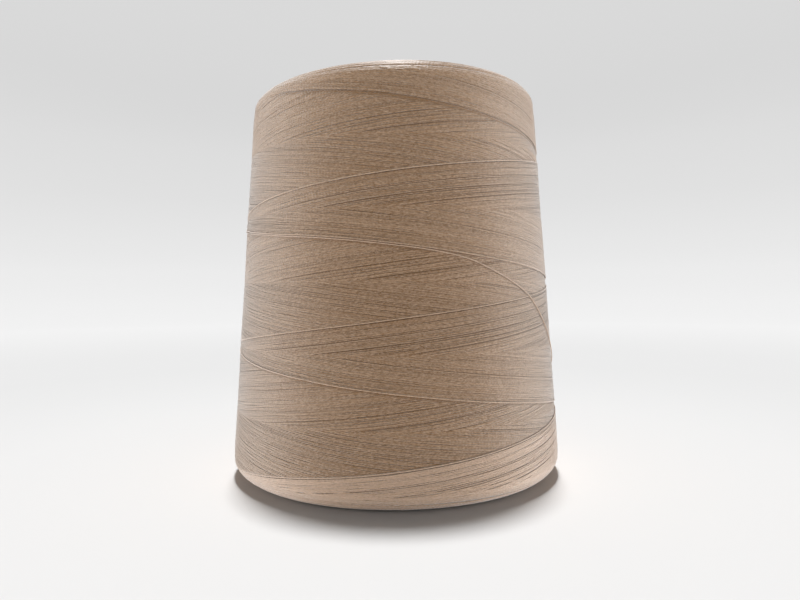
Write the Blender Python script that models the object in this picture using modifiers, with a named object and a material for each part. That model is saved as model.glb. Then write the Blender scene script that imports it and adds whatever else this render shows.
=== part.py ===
"""Cone of sewing yarn: one solid wound body with a tapered hole down its middle.

Metres, +Z up. The body stands on its wide end: z = 0 is the flat ring of that end, the axis is x = y = 0,
and -Y is the front. Each pass of the yarn climbs or falls around the body and lies on the passes before it,
which leaves low ledges, one winding up the body and one winding down it.
"""

import math

import bpy

# Driving dimensions.
HEIGHT = 0.1155
BASE_RADIUS = 0.0496      # widest radius, where the rounded base edge meets the straight side
TOP_RADIUS = 0.0423       # radius that the straight side would have at the full height
YARN_DEPTH = 0.0266       # yarn between the hole and the side, the same all the way up
FOOT_RADIUS = 0.036       # outer radius of the flat ring that the body rests on
FOOT_LIFT = 0.0005        # rise of the base from that ring to its rounded edge
END_LEAN = 0.001          # the narrow end's rim is this much higher at +X, and lower at -X
LEAN_REACH = 0.014        # how far below the full height that lean begins

# Rounded edges, as (extent across, extent along the height).
SHOULDER = (0.013, 0.0058)
BASE_EDGE = (0.0070, 0.0056)
HOLE_EDGE = (0.0015, 0.0015)

# Winding relief.
LEAD = 0.037              # height gained in one turn of the yarn
FALLING_LEDGE = 0.0670    # height at the front of the ledge that falls towards +X
RISING_LEDGE = 0.0483     # height at the front of the ledge that rises towards +X
LAY_DEPTH = 0.0004        # height of the newest passes above the oldest
LEDGE_SHARE = 0.12        # share of the lead over which a ledge drops back
RELIEF_FADE = 0.010       # the relief fades out over this height at both ends of the side

# Fineness of the mesh.
SEGMENTS = 80
SIDE_ROWS = 42
SHOULDER_STEPS = 10
EDGE_STEPS = 5

YARN_COLOUR = (0.26, 0.165, 0.108, 1.0)
YARN_ROUGHNESS = 0.6


def clear_scene():
    for thing in list(bpy.data.objects):
        bpy.data.objects.remove(thing, do_unlink=True)


def new_collection(name):
    collection = bpy.data.collections.new(name)
    bpy.context.scene.collection.children.link(collection)
    return collection


def yarn_material():
    material = bpy.data.materials.new("yarn")
    material.use_nodes = True
    shader = material.node_tree.nodes["Principled BSDF"]
    shader.inputs["Base Color"].default_value = YARN_COLOUR
    shader.inputs["Roughness"].default_value = YARN_ROUGHNESS
    shader.inputs["Metallic"].default_value = 0.0
    return material


def side_radius(z):
    """Radius of the straight tapered side at a height."""
    slope = (BASE_RADIUS - TOP_RADIUS) / (HEIGHT - side_bottom())
    return BASE_RADIUS - slope * (z - side_bottom())


def side_bottom():
    return FOOT_LIFT + BASE_EDGE[1]


def side_top():
    return HEIGHT - SHOULDER[1]


def arc(centre, size, start, end, steps):
    """Points along part of an ellipse in the profile plane, the angles in degrees from +X towards +Z."""
    points = []
    for i in range(steps + 1):
        angle = math.radians(start + (end - start) * i / steps)
        points.append((centre[0] + size[0] * math.cos(angle), centre[1] + size[1] * math.sin(angle)))
    return points


def hole_edge(z, inward, start, end):
    """The rounded rim of the hole at one end; inward is 1 where the body lies above it and -1 below it."""
    centre_z = z + inward * HOLE_EDGE[1]
    centre = (side_radius(centre_z) - YARN_DEPTH + HOLE_EDGE[0], centre_z)
    return arc(centre, HOLE_EDGE, start, end, EDGE_STEPS)


def profile_points():
    """The closed section: over the shoulder, down the side, under the base and back up the hole."""
    shoulder_centre = (side_radius(side_top()) - SHOULDER[0], side_top())
    base_centre = (BASE_RADIUS - BASE_EDGE[0], side_bottom())
    side_step = (side_top() - side_bottom()) / SIDE_ROWS
    side_heights = [side_top() - side_step * i for i in range(1, SIDE_ROWS)]
    side = [(side_radius(z), z) for z in side_heights]
    return (
        arc(shoulder_centre, SHOULDER, 90, 0, SHOULDER_STEPS)
        + side
        + arc(base_centre, BASE_EDGE, 0, -90, EDGE_STEPS)
        + [(FOOT_RADIUS, 0.0)]
        + hole_edge(0.0, 1, 270, 180)
        + hole_edge(HEIGHT, -1, 180, 90)
    )


def profile_mesh(name):
    points = profile_points()
    edges = [(i, (i + 1) % len(points)) for i in range(len(points))]
    mesh = bpy.data.meshes.new(name)
    mesh.from_pydata([(x, 0.0, z) for x, z in points], edges, [])
    return mesh


def turned_mesh(name):
    """The section turned once around the axis, as a mesh of its own."""
    profile = bpy.data.objects.new(name + "_profile", profile_mesh(name + "_profile"))
    bpy.context.scene.collection.objects.link(profile)
    screw = profile.modifiers.new("turn", "SCREW")
    screw.axis = "Z"
    screw.angle = math.radians(360)
    screw.steps = SEGMENTS
    screw.render_steps = SEGMENTS
    screw.use_merge_vertices = True
    screw.merge_threshold = 0.00001
    evaluated = profile.evaluated_get(bpy.context.evaluated_depsgraph_get())
    mesh = bpy.data.meshes.new_from_object(evaluated)
    mesh.name = name
    bpy.data.objects.remove(profile, do_unlink=True)
    return mesh


def newness(leads_from_ledge):
    """How new the top pass is: 1 at a ledge, falling evenly to 0 a lead away, where the next ledge rises."""
    share = leads_from_ledge % 1.0
    if share > 1.0 - LEDGE_SHARE:
        return (share - 1.0 + LEDGE_SHARE) / LEDGE_SHARE
    return 1.0 - share / (1.0 - LEDGE_SHARE)


def relief(turns, z):
    """Height of the winding above the plain side; turns is counted from the front towards +X."""
    falling = newness((z - FALLING_LEDGE) / LEAD + turns)
    rising = newness((RISING_LEDGE - z) / LEAD + turns)
    clear_of_ends = min(z - side_bottom(), side_top() - z) / RELIEF_FADE
    return LAY_DEPTH * max(falling, rising) * min(1.0, max(0.0, clear_of_ends))


def raise_winding(mesh):
    """Raise the points of the side by the relief; the ends and the hole stay plain."""
    for vertex in mesh.vertices:
        x, y, z = vertex.co
        radius = math.hypot(x, y)
        if radius < side_radius(z) - SHOULDER[0]:
            continue
        grown = 1.0 + relief(math.atan2(x, -y) / math.tau, z) / radius
        vertex.co.x = x * grown
        vertex.co.y = y * grown


def lean_narrow_end(mesh):
    """Tip the narrow end a little, as the last passes have left it, fading out down the side."""
    for vertex in mesh.vertices:
        share = max(0.0, 1.0 - (HEIGHT - vertex.co.z) / LEAN_REACH)
        vertex.co.z += END_LEAN * vertex.co.x / TOP_RADIUS * share * share * (3.0 - 2.0 * share)


def wound_yarn(collection):
    mesh = turned_mesh("wound_yarn")
    raise_winding(mesh)
    lean_narrow_end(mesh)
    mesh.materials.append(yarn_material())
    mesh.shade_smooth()
    mesh.set_sharp_from_angle(angle=math.radians(35))
    body = bpy.data.objects.new("wound_yarn", mesh)
    collection.objects.link(body)
    return body


def main():
    clear_scene()
    wound_yarn(new_collection("cone_of_yarn"))


main()
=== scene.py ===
"""Winds a cone of sewing yarn around its solid, strand by strand, and stands it on a pale floor.

Metres, +Z up, -Y towards the front. A place on the outer face is given as turns from the front towards +X,
and as reach: the way along the section. On the straight side that is nearly the height above the floor. It
is less on the base edge and underside, and more on the shoulder and the narrow end.
"""

import math

import bpy
import numpy as np
from mathutils import Matrix, Vector


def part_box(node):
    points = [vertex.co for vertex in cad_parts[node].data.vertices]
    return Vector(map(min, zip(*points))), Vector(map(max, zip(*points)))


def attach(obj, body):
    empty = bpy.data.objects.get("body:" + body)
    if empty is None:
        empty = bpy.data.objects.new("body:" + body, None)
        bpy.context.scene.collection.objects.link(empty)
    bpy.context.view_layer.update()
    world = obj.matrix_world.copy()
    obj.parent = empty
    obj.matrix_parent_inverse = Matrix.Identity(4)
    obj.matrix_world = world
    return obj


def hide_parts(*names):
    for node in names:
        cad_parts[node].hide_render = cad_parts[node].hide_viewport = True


bl_info = {
    "name": "Cone of Yarn",
    "version": (1, 0, 0),
    "blender": (4, 5, 0),
    "location": "3D View > Sidebar > Yarn",
    "description": "Winds a cone of sewing yarn strand by strand and stands it on a pale floor",
    "category": "Add Mesh",
}

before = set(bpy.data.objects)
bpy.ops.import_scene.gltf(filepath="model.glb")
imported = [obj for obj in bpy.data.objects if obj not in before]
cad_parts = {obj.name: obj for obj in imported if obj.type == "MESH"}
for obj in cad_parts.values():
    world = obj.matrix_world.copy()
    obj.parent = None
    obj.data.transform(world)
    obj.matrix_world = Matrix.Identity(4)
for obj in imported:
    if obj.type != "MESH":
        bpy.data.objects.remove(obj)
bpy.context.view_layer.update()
SOLID = "wound_yarn"
SOLID_RADIUS = (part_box(SOLID)[1][0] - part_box(SOLID)[0][0]) / 2

# The stage's paleness and glow, by the way out along the floor and up the wall as a share of this reach.
# The changes of the floor's paleness along the way are painted light and shade.
STAGE_REACH = 3.2
STAGE_PALENESS_AND_SHADE = (
    (0.0, 0.69),
    (0.04, 0.682),
    (0.067, 0.655),
    (0.09, 0.641),
    (0.13, 0.6385),
    (0.204, 0.656),
    (0.27, 0.663),
    (0.50, 0.10),
)
STAGE_GLOW = (
    (0.27, 0.0),
    (0.30, 0.088),
    (0.37, 0.327),
    (0.44, 0.542),
    (0.50, 0.69),
    (0.584, 0.655),
    (0.70, 0.643),
    (0.84, 0.655),
)


def length(name, description, default):
    return bpy.props.FloatProperty(
        name=name, description=description, default=default, unit="LENGTH", subtype="DISTANCE", precision=5
    )


def share(name, description, default):
    return bpy.props.FloatProperty(name=name, description=description, default=default, min=0.0, max=1.0)


def number(name, description, default, least=0.0):
    return bpy.props.FloatProperty(name=name, description=description, default=default, min=least)


def count(name, description, default):
    return bpy.props.IntProperty(name=name, description=description, default=default, min=1)


def colour(name, description, default):
    return bpy.props.FloatVectorProperty(
        name=name, description=description, default=default, subtype="COLOR", size=3, min=0.0, max=1.0
    )


class BodySizes(bpy.types.PropertyGroup):
    """The wound body's outer sizes."""

    height: length("Height", "Wide end to narrow end", 0.1155)
    base_radius: length("Base Radius", "Widest radius, just above the base edge", SOLID_RADIUS)
    top_radius: length("Top Radius", "Radius of the straight side at the full height", 0.0423)
    depth: length("Yarn Depth", "Yarn between the hole and the side", 0.0266)
    foot_radius: length("Foot Radius", "Outer radius of the flat ring it rests on", 0.036)
    foot_lift: length("Foot Lift", "Rise of the base towards its rounded edge", 0.0005)
    shoulder_across: length("Shoulder Across", "Extent of the rounded shoulder across", 0.013)
    shoulder_down: length("Shoulder Down", "Extent of the rounded shoulder down the side", 0.0058)
    edge_across: length("Base Edge Across", "Extent of the rounded base edge across", 0.0070)
    edge_up: length("Base Edge Up", "Extent of the rounded base edge up the side", 0.0056)
    hole_edge: length("Hole Edge", "Radius of the hole's rounded rims", 0.0015)
    end_lean: length("End Lean", "How much higher the narrow end's rim is at +X", 0.001)
    lean_reach: length("Lean Reach", "How far below the full height that lean begins", 0.014)


class WindingSizes(bpy.types.PropertyGroup):
    """How the strands are laid."""

    lead: length("Lead", "Height gained in one turn", 0.037)
    falling_ledge: length("Falling Ledge", "Height at the front of the newest falling pass", 0.0670)
    rising_ledge: length("Rising Ledge", "Height at the front of the newest rising pass", 0.0483)
    lay_depth: length("Lay Depth", "Height of the newest passes above the oldest", 0.00024)
    fade: length("Relief Fade", "The relief fades out over this height at both ends", 0.004)
    passes: count("Passes", "Passes in each direction that cover the body once", 124)
    strand: length("Strand", "Width of one strand", 0.00031)
    step: length("Step", "Length of one straight bit of a strand", 0.0037)
    tuck: length("Tuck", "How far a strand's end dives below the strands that cross it", 0.00025)
    ledge_rise: length("Ledge Rise", "How far the newest strand stands above its neighbours", 0.00009)
    groove: length("Groove", "Depth of the groove beside a ledge", 0.00015)
    sway: length("Sway", "Slow sideways wander of a strand", 0.00007)
    quiver: length("Quiver", "Quick sideways wander of a strand", 0.00005)
    seed: count("Seed", "Seed of the small unevenness", 7)


class YarnFinish(bpy.types.PropertyGroup):
    """The yarn's colours and surface."""

    light: colour("Light", "Colour of a strand's lightest fibres", (0.435, 0.266, 0.144))
    # The pale colour is painted light: painted reflection at the wide end, painted highlight on the ledges
    # and the slack turn.
    pale: colour("Pale", "Colour that strands turn to at the wide end and the ledges", (0.86, 0.62, 0.46))
    dark: colour("Dark", "Colour of a strand's darkest fibres", (0.235, 0.104, 0.0125))
    # The colour of the layers below is painted shade: the same yarn, darkened where it shows between
    # strands.
    gap_shade: colour("Deep", "Colour of the layers below, seen between strands", (0.165, 0.085, 0.032))
    roughness: share("Roughness", "Roughness of the yarn", 0.42)
    gloss: share("Gloss", "Strength of the yarn's silky gloss", 0.9)
    sheen: share("Sheen", "Strength of the fibres' sheen", 1.0)
    ply: length("Ply", "Length of one twist of the plies", 0.0009)


class StageSizes(bpy.types.PropertyGroup):
    """Where the camera stands and how the light falls."""

    distance: length("Distance", "Camera to the cone's axis", 0.2053)
    eye: length("Eye Level", "Camera above the floor", 0.0551)
    lens: number("Lens", "Focal length in millimetres on a 36 mm wide sensor", 29.28)
    pitch: number("Pitch", "Camera pitch in radians, up is positive", -0.0141, least=-1.0)
    yaw: number("Yaw", "Camera yaw in radians, left is positive", -0.0070, least=-1.0)
    roll: number("Roll", "Camera roll in radians", -0.0071, least=-1.0)
    floor_radius: length("Floor Radius", "Radius of the flat floor", 0.9)
    wall_radius: length("Wall Radius", "Radius of the round wall that the floor curves up into", 1.8)
    wall_height: length("Wall Height", "Top of that wall above the floor", 1.05)
    key: number("Key Light", "Strength of the light from above", 3.56)
    key_tilt: number("Key Tilt", "How far behind the top of the cone that light stands, in degrees", 9.0)
    key_spread: number("Key Spread", "How wide that light looks, in degrees", 7.0)
    side_power: number("Side Power", "Power of the left side light in watts", 1.9)
    side_front: number("Side Front", "How far before its sides they stand, in degrees", 3.0, least=-90.0)
    side_rise: number("Side Rise", "How high they stand as seen from it, in degrees", -3.0, least=-90.0)
    side_distance: length("Side Distance", "Side lights to the cone's axis", 0.6)
    side_balance: number("Side Balance", "Power of the right side light against the left one", 1.0)
    surroundings: number("Surroundings", "Brightness of the open top of the stage", 0.01)


class ConeOfYarn(bpy.types.PropertyGroup):
    """All settings of the cone of yarn."""

    body: bpy.props.PointerProperty(type=BodySizes)
    winding: bpy.props.PointerProperty(type=WindingSizes)
    finish: bpy.props.PointerProperty(type=YarnFinish)
    stage: bpy.props.PointerProperty(type=StageSizes)


# Shading


class Wire:
    """A shader socket in arithmetic: each operator adds its Math node."""

    def __init__(self, shading, socket):
        self.shading = shading
        self.socket = socket

    def maths(self, operation, *values):
        node = self.shading.node("ShaderNodeMath", {"operation": operation}, dict(enumerate(values)))
        return Wire(self.shading, node.outputs[0])

    def __add__(self, other):
        return self.maths("ADD", self, other)

    __radd__ = __add__

    def __sub__(self, other):
        return self.maths("SUBTRACT", self, other)

    def __rsub__(self, other):
        return self.maths("SUBTRACT", other, self)

    def __mul__(self, other):
        return self.maths("MULTIPLY", self, other)

    __rmul__ = __mul__

    def __truediv__(self, other):
        return self.maths("DIVIDE", self, other)

    def sine(self):
        return self.maths("SINE", self)

    def cosine(self):
        return self.maths("COSINE", self)

    def root(self):
        return self.maths("SQRT", self)

    def clamped(self):
        return self.maths("MAXIMUM", self.maths("MINIMUM", self, 1.0), 0.0)


class Shading:
    """A material's node tree, built by calls."""

    def __init__(self, name):
        self.material = bpy.data.materials.new(name)
        self.material.use_nodes = True
        self.tree = self.material.node_tree
        self.tree.nodes.clear()
        self.surface = self.node("ShaderNodeBsdfPrincipled")
        self.node("ShaderNodeOutputMaterial", sockets={"Surface": self.surface.outputs["BSDF"]})

    def node(self, kind, settings=None, sockets=None):
        node = self.tree.nodes.new(kind)
        for name, value in (settings or {}).items():
            if name == "stops":
                self.place_stops(node.color_ramp.elements, value)
            else:
                setattr(node, name, value)
        for name, value in (sockets or {}).items():
            self.fill(node.inputs[name], value)
        return node

    def place_stops(self, elements, stops):
        while len(elements) < len(stops):
            elements.new(0.5)
        for element, (place, lightness) in zip(elements, stops):
            element.position = place
            element.color = opaque((lightness, lightness, lightness))

    def fill(self, socket, value):
        value = value.socket if isinstance(value, Wire) else value
        if isinstance(value, bpy.types.NodeSocket):
            self.tree.links.new(value, socket)
        else:
            socket.default_value = value

    def wire(self, node, output):
        return Wire(self, node.outputs[output])

    def set(self, **sockets):
        for name, value in sockets.items():
            self.fill(self.surface.inputs[name.replace("_", " ")], value)

    def attribute(self, name):
        return self.wire(self.node("ShaderNodeAttribute", {"attribute_name": name}), "Fac")

    def place(self):
        """Object coordinates as three wires."""
        coordinates = self.node("ShaderNodeTexCoord")
        parts = self.node("ShaderNodeSeparateXYZ", sockets={"Vector": coordinates.outputs["Object"]})
        return [self.wire(parts, axis) for axis in "XYZ"]

    def noise(self, fineness):
        """Unevenness through the whole piece."""
        coordinates = self.node("ShaderNodeTexCoord")
        sockets = {"Vector": coordinates.outputs["Object"], **fineness}
        return self.wire(self.node("ShaderNodeTexNoise", sockets=sockets), "Fac")

    def streaks(self, way, fineness):
        """Unevenness along one strand only, which its neighbours do not share."""
        sockets = {"W": way, **fineness}
        return self.wire(self.node("ShaderNodeTexNoise", {"noise_dimensions": "1D"}, sockets), "Fac")

    def blend(self, factor, first, second):
        """A colour between two colours."""
        node = self.node("ShaderNodeMix", {"data_type": "RGBA"})
        shown = [socket for socket in node.inputs if socket.enabled]
        for socket, value in zip(shown, (factor, first, second), strict=True):
            self.fill(socket, value)
        return Wire(self, next(socket for socket in node.outputs if socket.enabled))

    def ramp(self, factor, stops):
        """A grey by way of (place, lightness) stops."""
        return self.wire(self.node("ShaderNodeValToRGB", {"stops": stops}, {"Fac": factor}), "Color")

    def bump(self, height, distance):
        sockets = {"Height": height, "Distance": distance, "Strength": 1.0}
        return self.wire(self.node("ShaderNodeBump", sockets=sockets), "Normal")


def opaque(rgb):
    return (*rgb, 1.0)


# The unevenness of the finishes, in waves a metre, and its detail.
STREAKS = {"Scale": 850.0, "Detail": 2.0}
FIBRES = {"Scale": 1500.0, "Detail": 4.0}
BLOTCHES = {"Scale": 95.0, "Detail": 2.0}
LOWER_FIBRES = {"Scale": 4200.0, "Detail": 3.0}

STREAK_TONE = 2.4         # how much the streaks along a strand change its tone
FIBRE_TONE = 0.35         # how much its fibres do
BLOTCH_TONE = 0.3         # how much the blotches on the piece do
PLY_SHADE = 0.09           # how much the groove between its plies does, darker in it and lighter on the plies as painted shade
PALE_DRAW = 2.0           # how far its usual shade draws back as it turns pale
FIBRE_ROUGHNESS = 0.15    # how much the fibres change its roughness
YARN_BUMP = 0.00003       # depth of its plies and fibres
LOWER_TONE = 0.35         # usual tone of the lower layers, kept dark as painted shade
LOWER_ROW_SHADE = 0.3      # how much their rows change it, darker between the rows as painted shade
LOWER_FIBRE_TONE = 0.6    # how much their fibres do
LOWER_BUMP = 0.00008      # depth of their rows and fibres


def strand_material(finish):
    """Twisted spun yarn with fibres and plies; a strand's tone is dark at 0, light at 1 and paler above,
    where the pale is painted reflection and highlight.
    """
    shading = Shading("strand_yarn")
    side = shading.node("ShaderNodeAttribute", {"attribute_name": "side"})
    parts = shading.node("ShaderNodeSeparateXYZ", sockets={"Vector": side.outputs["Vector"]})
    along = shading.attribute("along")
    twist = along * (math.tau / finish.ply)
    groove = twist.sine() * shading.wire(parts, "X") + twist.cosine() * shading.wire(parts, "Y")
    streaks = shading.streaks(along, STREAKS)
    fibres = shading.noise(FIBRES)
    blotches = shading.noise(BLOTCHES)
    unevenness = (streaks - 0.5) * STREAK_TONE + (fibres - 0.5) * FIBRE_TONE
    unevenness = unevenness + (blotches - 0.5) * BLOTCH_TONE + groove * PLY_SHADE
    tone = shading.attribute("tone")
    paleness = (tone - 1.0).clamped()
    shade = tone - paleness * PALE_DRAW + unevenness
    usual = shading.blend(shade.clamped(), opaque(finish.dark), opaque(finish.light))
    shading.set(
        Base_Color=shading.blend(paleness, usual, opaque(finish.pale)),
        Roughness=(fibres - 0.5) * FIBRE_ROUGHNESS + finish.roughness,
        Normal=shading.bump(groove * 0.5 + fibres * 0.5, YARN_BUMP),
        Specular_IOR_Level=finish.gloss,
        Sheen_Weight=finish.sheen,
        Sheen_Roughness=0.5,
    )
    return shading.material


def pale_stage_material():
    """A matt pale floor that turns, further out and up, into an evenly glowing wall; the floor's paleness
    changes with the way out as painted light and shade.
    """
    shading = Shading("pale_floor")
    x, y, z = shading.place()
    outwards = (x * x + y * y).root() + z
    way = outwards / STAGE_REACH
    shading.set(
        Base_Color=shading.ramp(way, STAGE_PALENESS_AND_SHADE),
        Emission_Color=shading.ramp(way, STAGE_GLOW),
        Emission_Strength=1.0,
        Roughness=0.9,
        Specular_IOR_Level=0.0,
    )
    return shading.material


def lower_material(finish, winding):
    """The layers below the outer strands: crossing rows of strands in painted shade, darker still between
    the rows.
    """
    shading = Shading("lower_yarn_painted_shade")
    x, y, z = shading.place()
    angle = x.maths("ARCTAN2", x, y * -1.0) / math.tau
    rows = []
    for way in (1.0, -1.0):
        rows.append(((z / winding.lead + angle * way) * (math.tau * winding.passes)).sine())
    crossing = rows[0].maths("MAXIMUM", rows[0], rows[1])
    fibres = shading.noise(LOWER_FIBRES)
    tone = crossing * LOWER_ROW_SHADE + LOWER_TONE + (fibres - 0.5) * LOWER_FIBRE_TONE
    shading.set(
        Base_Color=shading.blend(tone.clamped(), opaque(finish.gap_shade), opaque(finish.dark)),
        Roughness=0.75,
        Normal=shading.bump(crossing * 0.7 + fibres * 0.3, LOWER_BUMP),
        Sheen_Weight=finish.sheen,
        Sheen_Roughness=0.5,
    )
    return shading.material


# The body's section and where a strand lies on it


def arc(centre, size, start, end, steps):
    """Points along part of an ellipse in the section, the angles in degrees from outwards towards up."""
    angles = np.radians(np.linspace(start, end, steps + 1))
    return [(centre[0] + size[0] * math.cos(a), centre[1] + size[1] * math.sin(a)) for a in angles]


class Section:
    """The outer face as one path: out along the base, up the side, over the shoulder and in to the hole."""

    EDGE_BITS = 24    # straight bits of the shoulder and of the base edge
    RIM_BITS = 6      # straight bits of each rim of the hole
    SIDE_BITS = 95    # straight bits of the side

    def __init__(self, body):
        self.body = body
        self.side_bottom = body.foot_lift + body.edge_up
        self.side_top = body.height - body.shoulder_down
        points = np.array(self.outer_points())
        steps = np.hypot(*np.diff(points, axis=0).T)
        reach = np.concatenate([[0.0], np.cumsum(steps)])
        from_bottom = np.abs(points - (body.base_radius, self.side_bottom)).sum(axis=1)
        bottom = int(np.argmin(from_bottom))
        self.reach = reach - reach[bottom] + self.side_bottom
        self.points = points
        tangents = np.gradient(points, self.reach, axis=0)
        tangents /= np.hypot(*tangents.T)[:, None]
        self.normals = np.stack([tangents[:, 1], -tangents[:, 0]], axis=1)
        self.first, self.last = float(self.reach[0]), float(self.reach[-1])

    def side_radius(self, z):
        body = self.body
        slope = (body.base_radius - body.top_radius) / (body.height - self.side_bottom)
        return body.base_radius - slope * (z - self.side_bottom)

    def hole_arc(self, z, inward, start, end):
        """The hole's rounded rim at one end; inward is 1 at the wide end and -1 at the narrow end."""
        edge = self.body.hole_edge
        centre_z = z + inward * edge
        centre = (self.side_radius(centre_z) - self.body.depth + edge, centre_z)
        return arc(centre, (edge, edge), start, end, self.RIM_BITS)

    def outer_points(self):
        body = self.body
        base_centre = (body.base_radius - body.edge_across, self.side_bottom)
        shoulder_centre = (self.side_radius(self.side_top) - body.shoulder_across, self.side_top)
        heights = np.linspace(self.side_bottom, self.side_top, self.SIDE_BITS + 1)
        side = [(self.side_radius(z), z) for z in heights[1:-1]]
        return (
            self.hole_arc(0.0, 1, 180, 270)
            + [(body.foot_radius, 0.0)]
            + arc(base_centre, (body.edge_across, body.edge_up), -90, 0, self.EDGE_BITS)
            + side
            + arc(shoulder_centre, (body.shoulder_across, body.shoulder_down), 0, 90, self.EDGE_BITS)
            + self.hole_arc(body.height, -1, 90, 180)
        )

    def lifted(self, reach, lift):
        """Radius and height of a place along the section, raised off the face by lift."""
        radius, height = (np.interp(reach, self.reach, line) for line in self.points.T)
        outwards, upwards = (np.interp(reach, self.reach, line) for line in self.normals.T)
        return radius + lift * outwards, height + lift * upwards

    def lean(self, places):
        """Tip the narrow end as the solid has it."""
        body = self.body
        near = np.clip(1.0 - (body.height - places[:, 2]) / body.lean_reach, 0.0, 1.0)
        places[:, 2] += body.end_lean * places[:, 0] / body.top_radius * near * near * (3.0 - 2.0 * near)
        return places

    def places(self, turns, reach, lift):
        """Points in space for turns, reach and lift."""
        radius, height = self.lifted(reach, lift)
        angle = math.tau * turns
        return self.lean(np.stack([radius * np.sin(angle), -radius * np.cos(angle), height], axis=1))


# How far the newest falling passes have slipped down, by turns from the front.
SLIP = (
    (-0.60, 0.0),
    (-0.45, 0.0008),
    (-0.30, 0.0012),
    (-0.175, 0.0014),
    (-0.116, 0.0009),
    (-0.078, 0.0004),
    (-0.04, 0.0),
)
SLIP_AGES = 0.25         # age at which the slip has died out
SLIP_RISE = 0.12         # rise of a slipped strand over those it has slipped onto, as a share of its slip
SLACK_DROP = 0.0005      # how far the slack turn lies below the newest falling pass
SLACK_LEAVES = 0.035     # turns from the front at which it leaves that pass


def slipped(turns, age):
    """How far a falling pass has slipped down."""
    way, slip = np.array(SLIP).T
    return np.interp(turns, way, slip) * max(0.0, 1.0 - age / SLIP_AGES)


def slack_beside(turns):
    """How far below the newest falling pass the slack turn lies, or 0 where it isn't beside that pass."""
    return SLACK_DROP * (turns > SLIP[0][0]) * (turns < SLACK_LEAVES)


class Winding:
    """The rule by which passes climb and fall around the body and cover each other."""

    TURN_BACK = 0.035      # turns over which a pass bends back at an end
    LEAST_STEP = 0.0003    # least turns between two points of a pass
    MOST_CROSSINGS = 8     # crossings with the other family's ledge looked for to each side of the front
    GROOVE_FROM = 0.980    # age of the other family's passes at which the groove beside its ledge begins
    GROOVE_FADE = 0.008    # age over which it deepens
    # Turns from the other family's ledge to the points that a pass has there.
    LEDGE_POINTS = (-0.010, -0.007, -0.001, 0.003, 0.008)

    def __init__(self, section, sizes):
        self.section = section
        self.sizes = sizes
        middle = (sizes.rising_ledge + sizes.falling_ledge) / 2
        whole = round((section.side_top - section.side_bottom) / sizes.lead)
        self.top = middle + whole * sizes.lead / 2
        self.bottom = middle - whole * sizes.lead / 2

    def age(self, turns, reach, rising):
        """Age of the pass of one family that lies at a place, from 0 at its ledge to 1 a lead away."""
        sizes = self.sizes
        if rising:
            return ((sizes.rising_ledge - reach) / sizes.lead + turns) % 1.0
        return ((reach - sizes.falling_ledge) / sizes.lead + turns) % 1.0

    def fade(self, reach):
        """1 on the side, falling to 0 at its two ends."""
        clear = np.minimum(reach - self.section.side_bottom, self.section.side_top - reach)
        return np.clip(clear / self.sizes.fade, 0.0, 1.0)

    def groove(self, turns, reach, rising):
        """1 on the oldest passes right beside the other family's ledge, 0 away from it."""
        other = self.age(turns, reach, not rising)
        wider = 0.0
        if rising:
            nearest = (self.sizes.falling_ledge - reach) / self.sizes.lead + (other + 0.5) % 1.0 - 0.5
            other = self.age(turns, reach + slipped(nearest, 0.0), False)
            wider = slack_beside(nearest) / self.sizes.lead
        return np.clip((other + wider - self.GROOVE_FROM) / self.GROOVE_FADE, 0.0, 1.0)

    def crossings(self, age, rising, first, last):
        """Turns just before and after a pass goes under the other family's ledge."""
        apart = (self.sizes.falling_ledge - self.sizes.rising_ledge) / self.sizes.lead
        ledges = (np.arange(-self.MOST_CROSSINGS, self.MOST_CROSSINGS + 1) + age + apart) / 2
        if rising:
            ledge_turns = apart + age - ledges
            ledges -= (slipped(ledge_turns, 0.0) + slack_beside(ledge_turns)) / self.sizes.lead / 2
        turns = np.add.outer(ledges, self.LEDGE_POINTS).ravel()
        return turns[(turns > first) & (turns < last)]

    def route(self, age, rising):
        """Turns and reach along one pass, from turning back at one end to turning back at the other."""
        sizes = self.sizes
        if rising:
            start = (self.bottom - sizes.rising_ledge) / sizes.lead + age
        else:
            start = (sizes.falling_ledge - self.top) / sizes.lead + age
        pass_turns = (self.top - self.bottom) / sizes.lead
        around = math.tau * self.section.side_radius(self.section.body.height / 2)
        bits = int(pass_turns * around / sizes.step)
        turns = np.linspace(start, start + pass_turns, bits + 1)
        turns = np.sort(np.concatenate([turns, self.crossings(age, rising, start, start + pass_turns)]))
        turns = turns[np.diff(turns, prepend=-math.inf) > self.LEAST_STEP]
        since, left = turns - start, start + pass_turns - turns
        leaving = np.hypot(since, self.TURN_BACK)
        nearing = pass_turns - np.hypot(left, self.TURN_BACK)
        way = np.where(since < left, leaving, nearing)
        if rising:
            return turns, self.bottom + sizes.lead * way
        return turns, self.top - sizes.lead * way


# Rise, as a share of the ledge rise, and tone of the newest strands of a family. The newest one's pale tone
# is a painted highlight, the next one's dark tone painted shade below it.
LEDGE_STRANDS = ((1.0, 1.15), (0.0, 0.3))
# Clear gaps in the rising and in the falling family, as (strand before the gap, gap in even steps).
CLEAR_GAPS = {True: ((0, 0.7), (12, 0.8), (20, 0.4)), False: ((0, 0.5),)}
# Other gaps, as (rising, name, chance of one, usual size in even steps, how much likelier by the ledge).
FAMILIES = (
    (True, "rising", 0.13, 0.45, 1.0),
    (False, "falling", 0.13, 0.38, 0.0),
)
BY_LEDGE = 0.35           # share of the passes that count as by the ledge
STEP_SPREAD = 0.06        # how much the steps between strands vary, against an even step
STEP_LIMITS = (0.7, 1.3)
GAP_LIMITS = (0.3, 2.2)   # least and greatest gap against the usual one


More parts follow.
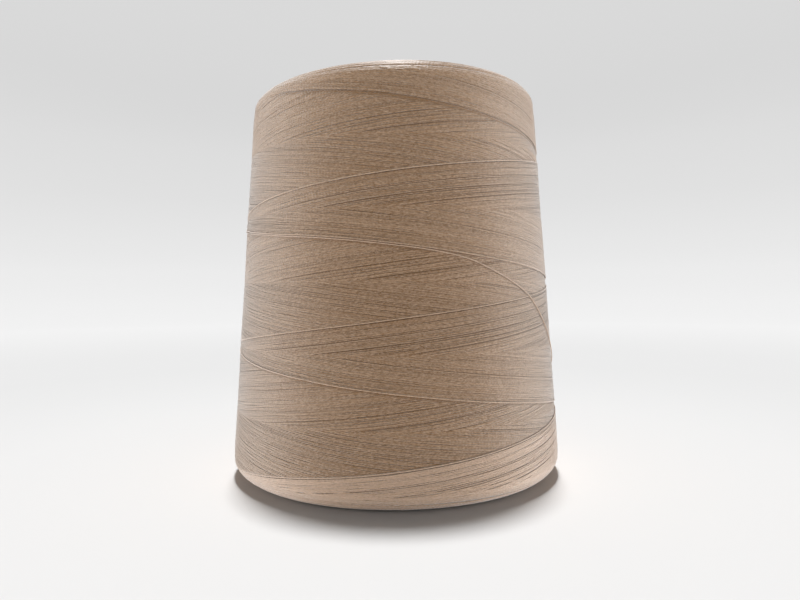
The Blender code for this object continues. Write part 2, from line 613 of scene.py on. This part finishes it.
def uneven_ages(number, rng, gap_chance, gap_size, more_by_ledge, clear_gaps):
    """Ages of the passes, from 0 up to 1, with a wider step here and there, more often by the ledge."""
    by_ledge = np.arange(number) < number * BY_LEDGE
    gaps = rng.random(number) < gap_chance * (1.0 + more_by_ledge * by_ledge)
    steps = rng.normal(1.0, STEP_SPREAD, number).clip(*STEP_LIMITS)
    steps += gaps * gap_size * rng.exponential(1.0, number).clip(*GAP_LIMITS)
    for strand, gap in clear_gaps:
        steps[strand] += gap
    ages = np.concatenate([[0.0], np.cumsum(steps)])
    return ages[:-1] / ages[-1]


def stretches(shown):
    """First and last index of each run of shown points, two points longer at each end."""
    padded = np.concatenate([[False], shown, [False]])
    edges = np.flatnonzero(padded[1:] != padded[:-1])
    for first, after in edges.reshape(-1, 2):
        yield max(first - 2, 0), min(after + 1, len(shown) - 1)


# Waves in one turn of a strand's slow and quick wander.
SLOW_WAVES = (2, 4, 9)
QUICK_WAVES = (14, 19, 23, 29)
WAVE_SIZES = (0.2, 1.0)    # least and greatest size of one wave


def wander(turns, rng, waves, size):
    """An uneven wander along a strand."""
    total = np.zeros_like(turns)
    for wave in waves:
        total += rng.uniform(*WAVE_SIZES) * np.sin(math.tau * (wave * turns + rng.uniform()))
    return size * total / math.sqrt(len(waves))


USUAL_TONE = 0.5      # usual tone of a strand
TONE_SPREAD = 0.15    # how much the tone varies
TONE_SWAP = 0.14      # how far every second strand is lighter, and the others darker
RIPPLE = 0.6          # a strand's ripple in height, as a share of its quiver sideways
RISING_RISE = 0.7     # rise of the rising ledge, as a share of the falling one's
COVER_AGES = 0.03     # age over which a strand dives below the newer ones that cross it
PALE_BELOW = 0.020    # the rising passes turn pale below this height, as painted reflection
PALE_FADE = 0.005     # over this height
PALE_TONE = 1.4       # their tone there
SUNK_ABOVE = 0.090    # above this height the falling ledge's strands have sunk in
SUNK_FADE = 0.004     # over this height
SUNK_DEPTH = 0.0003   # by this much
SUNK_SHADE_TONE = -0.9      # and their tone there, dark as a painted shadow line
GROOVE_SHADE = 0.6     # how much darker a strand is in the groove beside a ledge, as painted shade


def family_strands(section, winding, rising, rng, ages, newest_half):
    """The stretches of one family's passes that lie on top, for its newer or its older half."""
    sizes = winding.sizes
    ledge_rise = sizes.ledge_rise * (RISING_RISE if rising else 1.0)
    strands = []
    for number, age in enumerate(ages):
        turns, reach = winding.route(age, rising)
        reach += wander(turns, rng, SLOW_WAVES, sizes.sway)
        reach += wander(turns, rng, QUICK_WAVES, sizes.quiver) * (number > 0)
        ripple = wander(turns, rng, QUICK_WAVES, sizes.quiver * RIPPLE)
        tone = float(rng.normal(USUAL_TONE, TONE_SPREAD)) + (TONE_SWAP if number % 2 else -TONE_SWAP)
        if (age < 0.5) != newest_half:
            continue
        if number < len(LEDGE_STRANDS):
            rise, tone = LEDGE_STRANDS[number]
            ripple += rise * ledge_rise
        width = 1.0 + ripple / sizes.strand
        slip = 0.0 if rising else slipped(turns, age)
        ripple += slip * SLIP_RISE
        reach -= slip
        other = winding.age(turns, reach, not rising)
        covered = (age - other) / COVER_AGES
        # Low marks where the rising passes turn pale, a painted reflection on the wide end.
        low = np.clip((PALE_BELOW - reach) / PALE_FADE, 0.0, 1.0)
        # The falling strands are grooved only beside the pale stretch of the rising ledge.
        groove = winding.groove(turns, reach, rising) * (covered < 0.0) * (1.0 if rising else low)
        dive = np.clip(covered, 0.0, 1.0) * sizes.tuck + groove * sizes.groove
        # Beside a ledge a strand's tone is darkened as painted shade of the groove.
        tones = tone + (PALE_TONE - tone) * low * rising - GROOVE_SHADE * groove
        # Near the narrow end the falling ledge's newest strands sink and darken as a painted shadow line
        # under the ledge.
        if number < len(LEDGE_STRANDS) and not rising:
            sunk = np.clip((reach - SUNK_ABOVE) / SUNK_FADE, 0.0, 1.0)
            tones += (SUNK_SHADE_TONE - tone) * sunk
            dive += SUNK_DEPTH * sunk
        lift = sizes.lay_depth * (1.0 - age) * winding.fade(reach) - sizes.strand / 2 - dive + ripple
        for first, last in stretches(covered < 1.0):
            part = slice(first, last + 1)
            places = section.places(turns[part], reach[part], lift[part])
            strands.append(Strand(places, tones[part], False, width[part]))
    return strands


class Strand:
    """One strand's middle line, with its tone and width, each even or by point, and whether it closes."""

    def __init__(self, places, tone, closed, width):
        self.places = places
        self.tone = tone
        self.closed = closed
        self.width = width


# Making the pieces


SIDES = 6                # points around a strand, as a bevel resolution of 1 makes them
STRAND_MERGE = 1e-6      # points of a strand closer than this are merged
BODY_MERGE = 1e-5        # and points of the lower layers
PATTERN_LENGTH = 5.0     # each strand starts anywhere on this length of the streaks
# Added to the seed for each kind of random numbers; the rising family and the wide end add 1 more.
AGES_DRAW, PASSES_DRAW, END_DRAW, SLACK_DRAW = 1, 10, 20, 30


def active_object(thing):
    bpy.ops.object.select_all(action="DESELECT")
    thing.select_set(True)
    bpy.context.view_layer.objects.active = thing


def strands_curve(name, strands, width):
    """A curve with one straight-bit spline for each strand; open strands taper to a point at both ends."""
    curve = bpy.data.curves.new(name, "CURVE")
    curve.dimensions = "3D"
    curve.twist_mode = "Z_UP"
    curve.bevel_depth = width / 2
    curve.bevel_resolution = 1
    for strand in strands:
        spline = curve.splines.new("POLY")
        spline.points.add(len(strand.places) - 1)
        places = np.ones((len(strand.places), 4), np.float32)
        places[:, :3] = strand.places
        spline.points.foreach_set("co", places.ravel())
        radii = (np.ones(len(strand.places)) * strand.width).astype(np.float32)
        if not strand.closed:
            radii[[0, -1]] = 0.0
        spline.points.foreach_set("radius", radii)
        spline.use_cyclic_u = strand.closed
    thing = bpy.data.objects.new(name, curve)
    bpy.context.scene.collection.objects.link(thing)
    return thing


def write_attribute(mesh, name, kind, values):
    layer = mesh.attributes.new(name, kind, "POINT")
    key = "vector" if kind == "FLOAT_VECTOR" else "value"
    layer.data.foreach_set(key, np.ascontiguousarray(values, np.float32).ravel())


def strand_attributes(mesh, strands, rng):
    """Each point's tone, its way along its strand and its side of the strand."""
    along, tone = [], []
    for strand in strands:
        steps = np.linalg.norm(np.diff(strand.places, axis=0), axis=1)
        along.append(np.concatenate([[0.0], np.cumsum(steps)]) + rng.uniform(0.0, PATTERN_LENGTH))
        tone.append(np.ones(len(strand.places)) * strand.tone)
    rings = len(np.concatenate(along))
    corner = math.tau * np.arange(SIDES) / SIDES
    side = np.stack([np.cos(corner), np.sin(corner), np.zeros(SIDES)], axis=1)
    write_attribute(mesh, "along", "FLOAT", np.repeat(np.concatenate(along), SIDES))
    write_attribute(mesh, "tone", "FLOAT", np.repeat(np.concatenate(tone), SIDES))
    write_attribute(mesh, "side", "FLOAT_VECTOR", np.tile(side, (rings, 1)))


def finish_mesh(thing, merge):
    """Close seams, point the faces outwards and shade smooth."""
    active_object(thing)
    bpy.ops.object.mode_set(mode="EDIT")
    bpy.ops.mesh.select_all(action="SELECT")
    bpy.ops.mesh.remove_doubles(threshold=merge)
    bpy.ops.mesh.normals_make_consistent(inside=False)
    bpy.ops.object.mode_set(mode="OBJECT")
    bpy.ops.object.shade_smooth()


def strand_piece(name, strands, width, material, rng):
    thing = strands_curve(name, strands, width)
    active_object(thing)
    bpy.ops.object.convert(target="MESH")
    strand_attributes(thing.data, strands, rng)
    while thing.data.uv_layers:
        thing.data.uv_layers.remove(thing.data.uv_layers[0])
    finish_mesh(thing, STRAND_MERGE)
    thing.data.materials.append(material)
    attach(thing, "root")
    return thing


def settings():
    return bpy.context.scene.cone_of_yarn


def random_numbers(offset):
    return np.random.default_rng(settings().winding.seed * 100 + offset)


def shared_material(name, maker, *arguments):
    found = bpy.data.materials.get(name)
    return found if found else maker(*arguments)


class YARN_OT_lower_layers(bpy.types.Operator):
    """Wind the layers below the outer strands: the body that shows between them, and the hole"""

    bl_idname = "yarn.lower_layers"
    bl_label = "Lower Layers"

    COLUMNS = 144
    ROW = 0.001
    BASE_ROWS = 30
    SHOULDER_ROWS = 34
    DEPTH = 0.00026         # how deep it lies below the outer face
    SIDE_DEPTH = 0.002      # how far inside the side's radius a point still belongs to the side
    # Columns aside and rows above, for the points around a point and the point itself.
    AROUND = ((0, 0), (1, 1), (1, -1), (-1, 1), (-1, -1))

    def execute(self, context):
        section = Section(settings().body)
        winding = Winding(section, settings().winding)
        reaches = np.concatenate(
            [
                np.linspace(section.first, section.side_bottom, self.BASE_ROWS, endpoint=False),
                np.arange(section.side_bottom, section.side_top, self.ROW),
                np.linspace(section.side_top, section.last, self.SHOULDER_ROWS),
            ]
        )
        radius, height = section.lifted(reaches, -self.DEPTH)
        bpy.ops.object.select_all(action="DESELECT")
        bpy.ops.mesh.primitive_circle_add(vertices=len(reaches), radius=settings().body.base_radius)
        body = context.object
        body.name = "lower_layers"
        for vertex, across, up in zip(body.data.vertices, radius, height):
            vertex.co = (0.0, -across, up)
        bpy.ops.object.mode_set(mode="EDIT")
        bpy.ops.mesh.select_all(action="SELECT")
        bpy.ops.mesh.spin(steps=self.COLUMNS, angle=math.tau, center=(0, 0, 0), axis=(0, 0, 1))
        bpy.ops.object.mode_set(mode="OBJECT")
        finish_mesh(body, BODY_MERGE)
        self.follow_relief(body.data, section, winding)
        body.data.materials.append(
            shared_material("lower_yarn_painted_shade", lower_material, settings().finish, settings().winding)
        )
        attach(body, "root")
        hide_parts(SOLID)
        return {"FINISHED"}

    def follow_relief(self, mesh, section, winding):
        """Raise the side with the lowest of the passes that lie around each point."""
        places = np.empty(len(mesh.vertices) * 3, np.float32)
        mesh.vertices.foreach_get("co", places)
        places = places.reshape(-1, 3).astype(float)
        radius = np.hypot(places[:, 0], places[:, 1])
        turns = np.arctan2(places[:, 0], -places[:, 1]) / math.tau
        reach = places[:, 2]
        outer = radius > section.side_radius(reach) - self.SIDE_DEPTH
        ages = np.zeros_like(reach)
        for aside, above in self.AROUND:
            near_turns = turns + aside / self.COLUMNS
            near_reach = reach + above * self.ROW
            rising, falling = (winding.age(near_turns, near_reach, way) for way in (True, False))
            ages = np.maximum(ages, np.minimum(rising, falling))
        lift = winding.sizes.lay_depth * (1.0 - ages) * winding.fade(reach) * outer
        places[:, :2] *= (1.0 + lift / radius)[:, None]
        mesh.vertices.foreach_set("co", section.lean(places).astype(np.float32).ravel())
        mesh.update()


class YARN_OT_passes(bpy.types.Operator):
    """Lay the rising and the falling passes, each as its newer and its older half"""

    bl_idname = "yarn.passes"
    bl_label = "Rising and Falling Passes"

    def execute(self, context):
        sizes = settings().winding
        section = Section(settings().body)
        winding = Winding(section, sizes)
        material = shared_material("strand_yarn", strand_material, settings().finish)
        for rising, name, gap_chance, gap_size, more_by_ledge in FAMILIES:
            rng = random_numbers(AGES_DRAW + rising)
            ages = uneven_ages(sizes.passes, rng, gap_chance, gap_size, more_by_ledge, CLEAR_GAPS[rising])
            for newer in (True, False):
                rng = random_numbers(PASSES_DRAW + rising)
                strands = family_strands(section, winding, rising, rng, ages, newer)
                half = "newer" if newer else "older"
                strand_piece(f"{name}_passes_{half}", strands, sizes.strand, material, rng)
        return {"FINISHED"}


class YARN_OT_end_turns(bpy.types.Operator):
    """Lay the turns over the shoulder and both end faces, where older passes turn back"""

    bl_idname = "yarn.end_turns"
    bl_label = "End Turns"

    SPACING = 0.00028
    SWAY = 0.0012
    CALM = 0.006                 # the sway dies out over this reach towards the hole
    RIPPLE = 0.00004
    OVERLAP = 0.002              # how far the turns run in among the passes
    MARGIN = 0.0004              # how far they stay off the ends of the section
    LEAST_BITS = 24              # least straight bits in a turn
    # The narrow end's turns are a little lighter and the wide end's pale, both as painted reflection.
    NARROW_TONES = (0.65, 0.2)
    WIDE_TONES = (1.4, 0.08)

    def execute(self, context):
        section = Section(settings().body)
        winding = Winding(section, settings().winding)
        bend = winding.TURN_BACK * winding.sizes.lead
        material = shared_material("strand_yarn", strand_material, settings().finish)
        shoulder = winding.top - bend - self.OVERLAP
        base_edge = winding.bottom + bend + self.OVERLAP
        ends = (
            ("narrow_end_turns", self.NARROW_TONES, shoulder, section.last - self.MARGIN),
            ("wide_end_turns", self.WIDE_TONES, section.first + self.MARGIN, base_edge),
        )
        for number, (name, tones, low, high) in enumerate(ends):
            rng = random_numbers(END_DRAW + number)
            strands = self.rings(section, winding, tones, low, high, rng)
            strand_piece(name, strands, winding.sizes.strand, material, rng)
        return {"FINISHED"}

    def rings(self, section, winding, tones, low, high, rng):
        """Closed turns side by side; tones gives their usual tone and how much it varies."""
        rings = []
        for reach in np.arange(low, high, self.SPACING):
            radius, _ = section.lifted(np.array([reach]), 0.0)
            bits = max(self.LEAST_BITS, int(math.tau * radius[0] / winding.sizes.step))
            turns = np.arange(bits) / bits + rng.uniform()
            clear = min(reach - section.first, section.last - reach) / self.CALM
            sway = self.SWAY * rng.uniform(*WAVE_SIZES) * np.cos(math.tau * (turns + rng.uniform()))
            sway += wander(turns, rng, QUICK_WAVES, winding.sizes.quiver)
            way = reach + sway * min(1.0, clear)
            lift = wander(turns, rng, SLOW_WAVES, self.RIPPLE) - winding.sizes.strand / 2
            places = section.places(turns, way, lift)
            rings.append(Strand(places, float(rng.normal(*tones)), True, 1.0))
        return rings


class YARN_OT_slack_turn(bpy.types.Operator):
    """Lay the one slack turn that leaves its ledge and sags across the front"""

    bl_idname = "yarn.slack_turn"
    bl_label = "Slack Turn"

    # Turns from the front and reach, along the strand.
    ROUTE = (
        (-0.60, 0.0885),
        (-0.45, 0.0824),
        (-0.30, 0.0764),
        (-0.175, 0.0716),
        (-0.116, 0.0699),
        (-0.057, 0.0684),
        (-0.006, 0.0667),
        (0.031, 0.0653),
        (0.05, 0.0643),
        (0.07, 0.0628),
        (0.09, 0.0605),
        (0.116, 0.0573),
        (0.14, 0.0538),
        (0.162, 0.0488),
        (0.188, 0.0421),
        (0.203, 0.0385),
        (0.22, 0.0348),
        (0.25, 0.0300),
        (0.30, 0.0252),
        (0.38, 0.0213),
        (0.50, 0.0168),
        (0.60, 0.0131),
    )
    BITS = 160
    # Its pale tone is a painted highlight along the slack turn.
    TONE = 1.35
    WIDTH = 0.9          # against the other strands
    LIFT = 0.35          # how high it lies on them, as a share of a strand's width
    TUCK_TURNS = 0.03    # turns over which its two ends dive below them

    def execute(self, context):
        section = Section(settings().body)
        winding = Winding(section, settings().winding)
        route = np.array(self.ROUTE)
        turns = np.linspace(route[0, 0], route[-1, 0], self.BITS)
        reach = smooth_through(route, turns)
        ends = np.minimum(turns - turns[0], turns[-1] - turns) / self.TUCK_TURNS
        tuck = (winding.sizes.tuck + winding.sizes.strand) * (1.0 - np.clip(ends, 0.0, 1.0))
        lift = winding.sizes.lay_depth * winding.fade(reach) + winding.sizes.strand * self.LIFT - tuck
        places = section.places(turns, reach, lift)
        strand = Strand(places, self.TONE, False, self.WIDTH)
        material = shared_material("strand_yarn", strand_material, settings().finish)
        strand_piece("slack_turn", [strand], winding.sizes.strand, material, random_numbers(SLACK_DRAW))
        return {"FINISHED"}


def smooth_through(route, turns):
    """Reach at turns on a smooth curve through the route's points."""
    knots, values = route[:, 0], route[:, 1]
    slopes = np.gradient(values, knots)
    at = np.clip(np.searchsorted(knots, turns) - 1, 0, len(knots) - 2)
    span = knots[at + 1] - knots[at]
    part = (turns - knots[at]) / span
    rise = values[at + 1] - values[at]
    first, second = slopes[at] * span - rise, rise - slopes[at + 1] * span
    return values[at] + part * rise + part * (1 - part) * (first * (1 - part) + second * part)


class YARN_OT_stage(bpy.types.Operator):
    """Set the camera, the pale floor with its backdrop and the soft lights"""

    bl_idname = "yarn.stage"
    bl_label = "Stage"

    COLUMNS = 128
    BEND_STEPS = 24
    NEAREST_SEEN = 0.01
    SIDE_LIGHT = (0.5, 0.06)    # width and height

    def execute(self, context):
        sizes = settings().stage
        self.camera(context, sizes)
        bowl = self.backdrop(context, sizes)
        self.lights(context, sizes, bowl)
        return {"FINISHED"}

    def camera(self, context, sizes):
        data = bpy.data.cameras.new("camera")
        data.lens = sizes.lens
        data.clip_start = self.NEAREST_SEEN
        camera = bpy.data.objects.new("camera", data)
        context.scene.collection.objects.link(camera)
        turned = Matrix.Rotation(sizes.yaw, 4, "Z") @ Matrix.Rotation(math.pi / 2 + sizes.pitch, 4, "X")
        place = Matrix.Translation((0.0, -sizes.distance, sizes.eye))
        camera.matrix_world = place @ turned @ Matrix.Rotation(sizes.roll, 4, "Z")
        context.scene.camera = camera

    def backdrop(self, context, sizes):
        """A round floor whose rim curves up into a low wall on every side."""
        bpy.ops.object.select_all(action="DESELECT")
        floor = {"vertices": self.COLUMNS, "radius": sizes.floor_radius, "fill_type": "NGON"}
        bpy.ops.mesh.primitive_circle_add(**floor)
        bowl = context.object
        bowl.name = "backdrop"
        bend = sizes.wall_radius - sizes.floor_radius
        rise = [math.radians(90.0 * (i + 1) / self.BEND_STEPS) for i in range(self.BEND_STEPS)]
        rings = [(sizes.floor_radius + bend * math.sin(a), bend * (1.0 - math.cos(a))) for a in rise]
        rings.append((sizes.wall_radius, sizes.wall_height))
        bpy.ops.object.mode_set(mode="EDIT")
        bpy.ops.mesh.select_all(action="SELECT")
        bpy.ops.mesh.region_to_loop()
        radius, height = sizes.floor_radius, 0.0
        for next_radius, next_height in rings:
            up = (0.0, 0.0, next_height - height)
            bpy.ops.mesh.extrude_region_move(TRANSFORM_OT_translate={"value": up})
            wider = next_radius / radius
            bpy.ops.transform.resize(value=(wider, wider, 1.0), center_override=(0.0, 0.0, 0.0))
            radius, height = next_radius, next_height
        bpy.ops.object.mode_set(mode="OBJECT")
        bpy.ops.object.shade_smooth()
        bowl.data.materials.append(pale_stage_material())
        return bowl

    def lights(self, context, sizes, bowl):
        """A dim world, a light from above, and two at the sides that do not reach the floor."""
        world = bpy.data.worlds.new("surroundings")
        world.use_nodes = True
        background = world.node_tree.nodes["Background"]
        background.inputs["Color"].default_value = (1.0, 1.0, 1.0, 1.0)
        background.inputs["Strength"].default_value = sizes.surroundings
        context.scene.world = world
        context.scene.view_settings.view_transform = "Standard"
        data = bpy.data.lights.new("key", "SUN")
        data.energy = sizes.key
        data.angle = math.radians(sizes.key_spread)
        key = bpy.data.objects.new("key", data)
        key.matrix_world = Matrix.Rotation(math.radians(-sizes.key_tilt), 4, "X")
        context.scene.collection.objects.link(key)
        kept_off = bpy.data.collections.new("kept_off")
        kept_off.objects.link(bowl)
        kept_off.collection_objects[0].light_linking.link_state = "EXCLUDE"
        self.side_light(context, sizes, -1.0, sizes.side_power, kept_off)
        self.side_light(context, sizes, 1.0, sizes.side_power * sizes.side_balance, kept_off)

    def side_light(self, context, sizes, side, power, kept_off):
        """A soft light beside the cone, itself unseen; side is -1 for the left and 1 for the right."""
        data = bpy.data.lights.new("side", "AREA")
        data.shape = "RECTANGLE"
        data.size, data.size_y = self.SIDE_LIGHT
        data.energy = power
        light = bpy.data.objects.new("side", data)
        light.visible_camera = False
        light.light_linking.receiver_collection = kept_off
        front, rise = math.radians(sizes.side_front), math.radians(sizes.side_rise)
        way = Vector((side * math.cos(front), -math.sin(front), math.tan(rise))).normalized()
        place = Vector((0.0, 0.0, settings().body.height / 2)) + way * sizes.side_distance
        light.matrix_world = Matrix.Translation(place) @ way.to_track_quat("Z", "Y").to_matrix().to_4x4()
        context.scene.collection.objects.link(light)


class YARN_PT_panel(bpy.types.Panel):
    """The cone of yarn's settings and steps"""

    bl_idname = "YARN_PT_panel"
    bl_label = "Cone of Yarn"
    bl_space_type = "VIEW_3D"
    bl_region_type = "UI"
    bl_category = "Yarn"

    def draw(self, context):
        for group in ("body", "winding", "finish", "stage"):
            box = self.layout.box()
            chosen = getattr(context.scene.cone_of_yarn, group)
            for name in chosen.__annotations__:
                box.prop(chosen, name)
        for step in STEPS:
            self.layout.operator(step.bl_idname)


STEPS = (
    YARN_OT_stage,
    YARN_OT_lower_layers,
    YARN_OT_passes,
    YARN_OT_end_turns,
    YARN_OT_slack_turn,
)
CLASSES = (BodySizes, WindingSizes, YarnFinish, StageSizes, ConeOfYarn, *STEPS, YARN_PT_panel)


def register():
    for kind in CLASSES:
        bpy.utils.register_class(kind)
    bpy.types.Scene.cone_of_yarn = bpy.props.PointerProperty(type=ConeOfYarn)


def unregister():
    del bpy.types.Scene.cone_of_yarn
    for kind in reversed(CLASSES):
        bpy.utils.unregister_class(kind)


def main():
    register()
    bpy.ops.yarn.stage()
    bpy.ops.yarn.lower_layers()
    bpy.ops.yarn.passes()
    bpy.ops.yarn.end_turns()
    bpy.ops.yarn.slack_turn()


if __name__ == "__main__":
    main()
